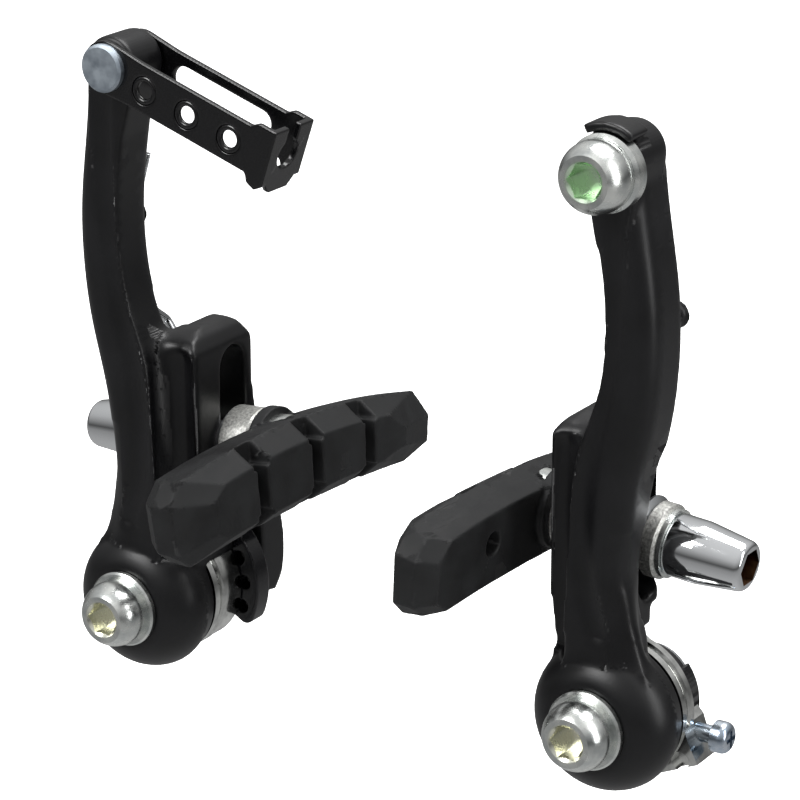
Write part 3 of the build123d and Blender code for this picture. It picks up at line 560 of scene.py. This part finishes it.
# %% [markdown]
# Each nut is then tilted as its stud is and carried to its side. The right one is a mirror
# image, which turns its faces inwards, so the normals are worked out again at the end. The
# spacers differ, because on the right the thicker cup washer sits outboard.

# %% Pad nuts
NUT_SIDES = 96
NUT_TILT = radians(4.9)
BALL_U, BALL_Y = 4.7, -5.1
BALL_W = {"left": 25.6, "right": 26.4}
BLOCK_HALF, FLAT_T = 6.0, 0.8
OUTER_SPACER = {"left": 2.45, "right": 3.4}
NUT_MERGE_GAP = 0.0005
SMOOTH_BELOW = radians(25)


def pad_nut(side, sign):
    """Chromed nut on the outer washers of one side's pad."""
    inner_x = -(BLOCK_HALF + OUTER_SPACER[side] + FLAT_T)
    end_x = inner_x - NUT_LENGTH
    nut = bar_along_x(NUT_SIDES, NUT_BASE_R, NUT_BARREL, inner_x - NUT_BARREL / 2)
    nut.name = side + "_pad_nut_finished"
    bpy.ops.object.transform_apply(location=True, rotation=True, scale=True)
    extrude_nose(nut)
    round_corners(nut)
    cut_socket(nut, end_x)
    nut.data.materials.append(chrome)
    nut.data.materials.append(brown_socket)
    for face in nut.data.polygons:
        if in_socket(face, end_x):
            face.material_index = 1
    ball = Matrix.Translation((BALL_U * MM, BALL_Y * MM, BALL_W[side] * MM))
    place = ball @ Matrix.Rotation(-NUT_TILT, 4, "Y")
    if sign < 0:
        place = Matrix.Scale(-1, 4, (1, 0, 0)) @ place
    nut.data.transform(Matrix.Translation((-sign * PIVOT_X, 0, 0)) @ place)
    close_mesh(NUT_MERGE_GAP)
    bpy.ops.object.shade_smooth_by_angle(angle=SMOOTH_BELOW)
    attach(nut, nodes[side + "_pad_nut"]["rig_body"])
    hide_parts(side + "_pad_nut")
    print(nut.name, "faces", len(nut.data.polygons))


for side, sign in SIDES.items():
    pad_nut(side, sign)

# %% [markdown]
# The link's three holes are pierced in pressed dimples: each has a raised, rolled rim that
# leaves a smaller opening. The rims could be pressed out of the sheet's mesh. A ring of round
# section, sunk half into the sheet about each hole, gives the same form with clean faces.

# %% Dimples of the link
DIMPLES = ((-21.46, 81.72), (-29.32, 84.38), (-37.28, 87.08))
DIMPLE_Y, DIMPLE_R, RIM_R = -20.45, 1.85, 0.5
for count, (x, z) in enumerate(DIMPLES):
    bpy.ops.object.select_all(action="DESELECT")
    bpy.ops.mesh.primitive_torus_add(major_segments=48, minor_segments=16, major_radius=DIMPLE_R * MM,
                                     minor_radius=RIM_R * MM, location=(x * MM, DIMPLE_Y * MM, z * MM),
                                     rotation=(pi / 2, 0, 0))
    rim = bpy.context.object
    rim.name = f"link_dimple_{count}"
    bpy.ops.object.transform_apply(location=True, rotation=True, scale=True)
    bpy.ops.object.shade_smooth()
    rim.data.materials.append(link_paint)
    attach(rim, "link")
print("dimple rims", len(DIMPLES))

# %% [markdown]
# ## Floor, light and camera
# The brake hangs from a frame that isn't part of it, so the pale floor lies well below. It is
# a table of opal acrylic that glows a little, which keeps it an even white. Black paint shows
# its form only by what it mirrors, and a white floor would wash it out from below, so glossy
# rays don't see the floor.

# %% Floor
FLOOR_SIZE, FLOOR_Z = 12.0, -0.12
bpy.ops.object.select_all(action="DESELECT")
bpy.ops.mesh.primitive_plane_add(size=FLOOR_SIZE, location=(0, 0, FLOOR_Z))
floor = bpy.context.object
floor.name = "floor"
opal, tree, shader = new_finish("Opal acrylic table, lit from beneath", "#f6f6f6", 0.9,
                                Emission_Strength=0.8)
shader.inputs["Emission Color"].default_value = colour("#ffffff")
floor.data.materials.append(opal)
floor.visible_glossy = False

# %% [markdown]
# Small lamps would give the paint hard white dots, so the lights are three large soft panels:
# the key from the front left, a tall strip on the right that draws a line down each spine, and
# one above for the tops. Sizes are in metres and powers in watts.

# %% Light panels
BRAKE_MIDDLE = Vector((0.0, -0.005, 0.04))


def panel(name, place, size, power):
    """A soft, white area light at place, aimed at the brake's middle."""
    data = bpy.data.lights.new(name, "AREA")
    data.shape = "RECTANGLE"
    data.size, data.size_y = size
    data.energy = power
    lamp = bpy.data.objects.new(name, data)
    lamp.location = place
    lamp.rotation_euler = (BRAKE_MIDDLE - Vector(place)).to_track_quat("-Z", "Y").to_euler()
    bpy.context.scene.collection.objects.link(lamp)


panel("key_panel", (-0.35, -0.75, 0.75), (0.5, 0.5), 9.0)
panel("right_strip", (0.85, -0.05, 0.35), (0.25, 0.9), 4.0)
panel("top_panel", (0.1, 0.25, 0.95), (0.7, 0.5), 10.0)

# %% [markdown]
# The rest of the studio is a grey gradient by height: pale below and above, with a dark band
# near the horizon. Without that band the sides of the arms would mirror white walls.

# %% Studio around the brake
STUDIO_GREYS = [(0.0, "#d0d0d0"), (0.36, "#a4a4a4"), (0.47, "#5c5c5c"), (0.72, "#d4d4d4"), (1.0, "#ffffff")]
STUDIO_STRENGTH = 0.8
world = bpy.data.worlds.new("studio")
world.use_nodes = True
tree = world.node_tree
around = add_node(tree, "ShaderNodeTexCoord")
split = add_node(tree, "ShaderNodeSeparateXYZ", links={"Vector": around.outputs["Generated"]})
height = add_node(tree, "ShaderNodeMapRange", {"From Min": -1.0, "From Max": 1.0},
                  {"Value": split.outputs["Z"]})
shade = ramp(tree, height.outputs["Result"], STUDIO_GREYS)
background = tree.nodes["Background"]
tree.links.new(shade.outputs["Color"], background.inputs["Color"])
background.inputs["Strength"].default_value = STUDIO_STRENGTH
bpy.context.scene.world = world
bpy.context.scene.view_settings.view_transform = "Standard"

# %% [markdown]
# The camera stands a little over half a metre away, up and to the right, and a long lens keeps
# the two arms nearly the same size. Its place and angles were solved from the photograph.

# %% Camera at the photograph's angle
CAMERA_AT = Vector((0.2716, -0.4270, 0.2155))
AZIMUTH, ELEVATION = radians(32.83), radians(19.36)
LENS_MM, SENSOR_MM = 153.0, 36.0
look = Vector((-sin(AZIMUTH) * cos(ELEVATION), cos(AZIMUTH) * cos(ELEVATION), -sin(ELEVATION)))
camera_data = bpy.data.cameras.new("camera")
camera_data.lens = LENS_MM
camera_data.sensor_width = SENSOR_MM
camera = bpy.data.objects.new("camera", camera_data)
camera.location = CAMERA_AT
camera.rotation_euler = look.to_track_quat("-Z", "Y").to_euler()
bpy.context.scene.collection.objects.link(camera)
bpy.context.scene.camera = camera
